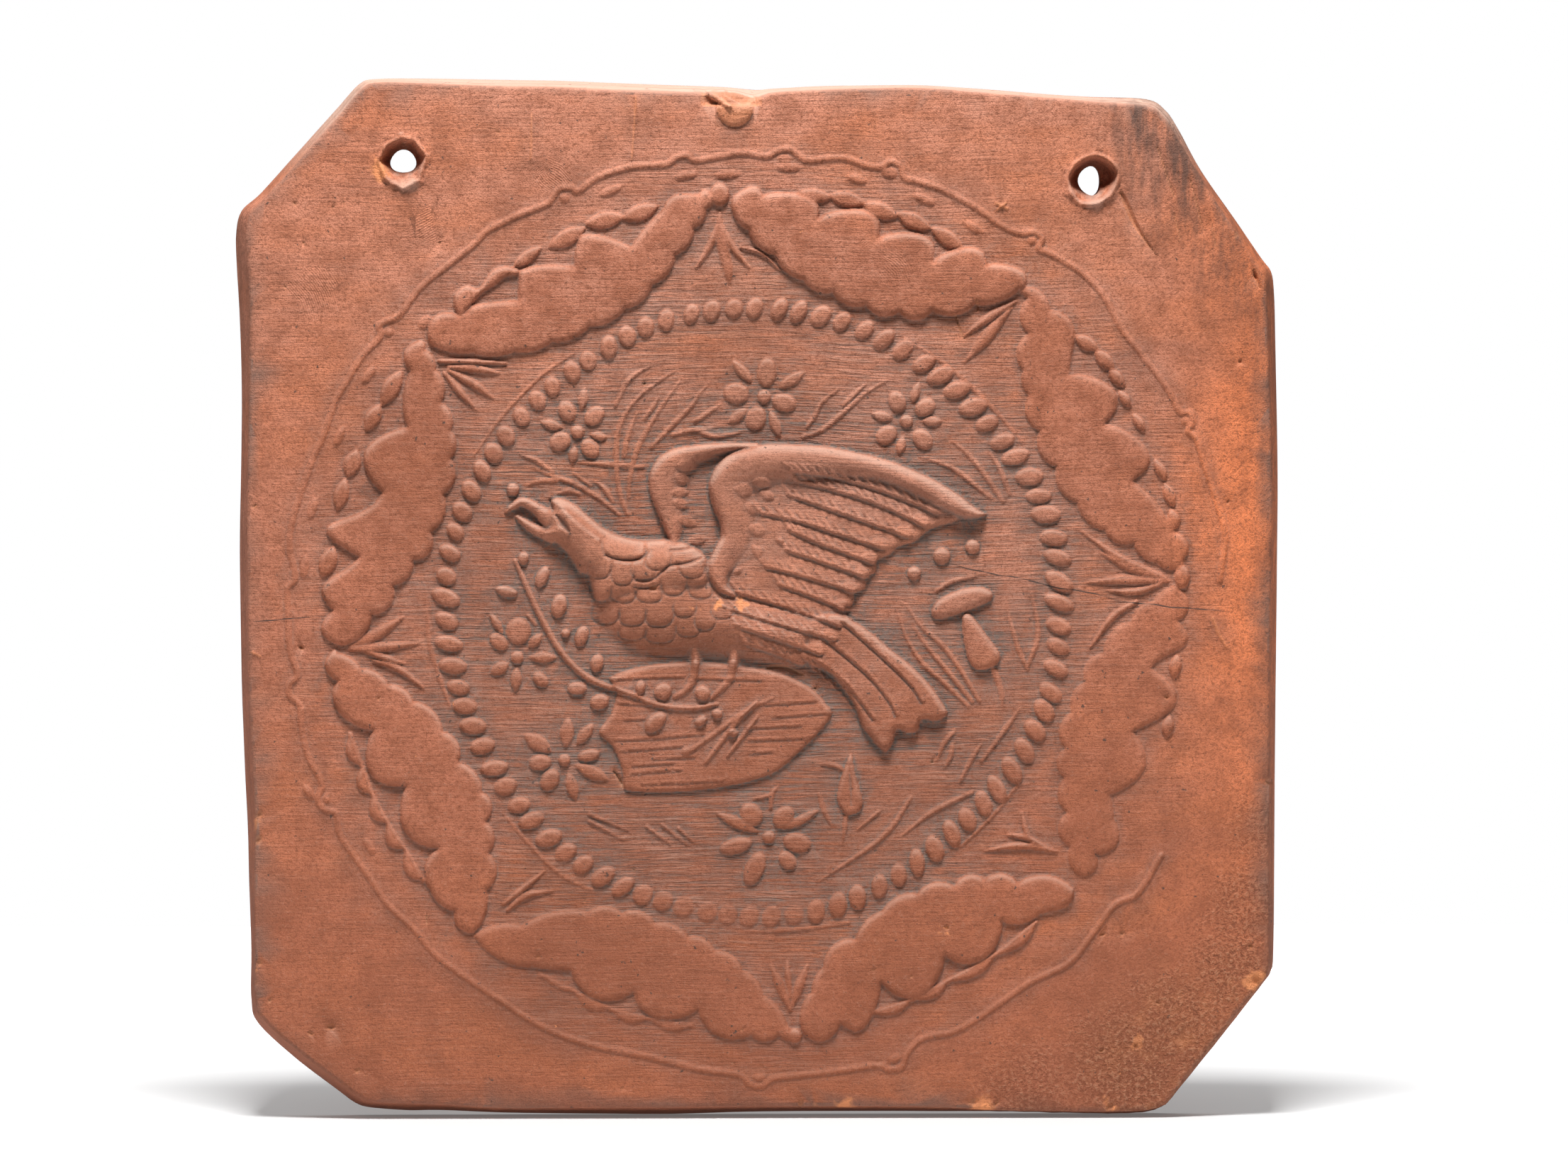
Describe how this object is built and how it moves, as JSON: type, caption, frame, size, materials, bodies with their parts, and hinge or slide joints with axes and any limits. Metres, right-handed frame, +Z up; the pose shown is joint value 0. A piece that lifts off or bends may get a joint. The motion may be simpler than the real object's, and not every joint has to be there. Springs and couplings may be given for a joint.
{
  "type": "relief wall tile",
  "caption": "Terracotta wall tile with cut corners and holes for hanging, moulded in low relief with an eagle on a shield inside rings of beads and scalloped festoons.",
  "frame": {"origin": "centre of the flat back face", "axes": "+Y out of the back face, towards the wall; -Y towards the viewer; +X to the viewer's right; +Z up as it hangs"},
  "size_m": [0.2482, 0.0206, 0.2478],
  "materials": {
    "terracotta": "matt unglazed fired clay"
  },
  "bodies": {
    "root": {"eagle_tile": "terracotta"}
  },
  "joints": []
}
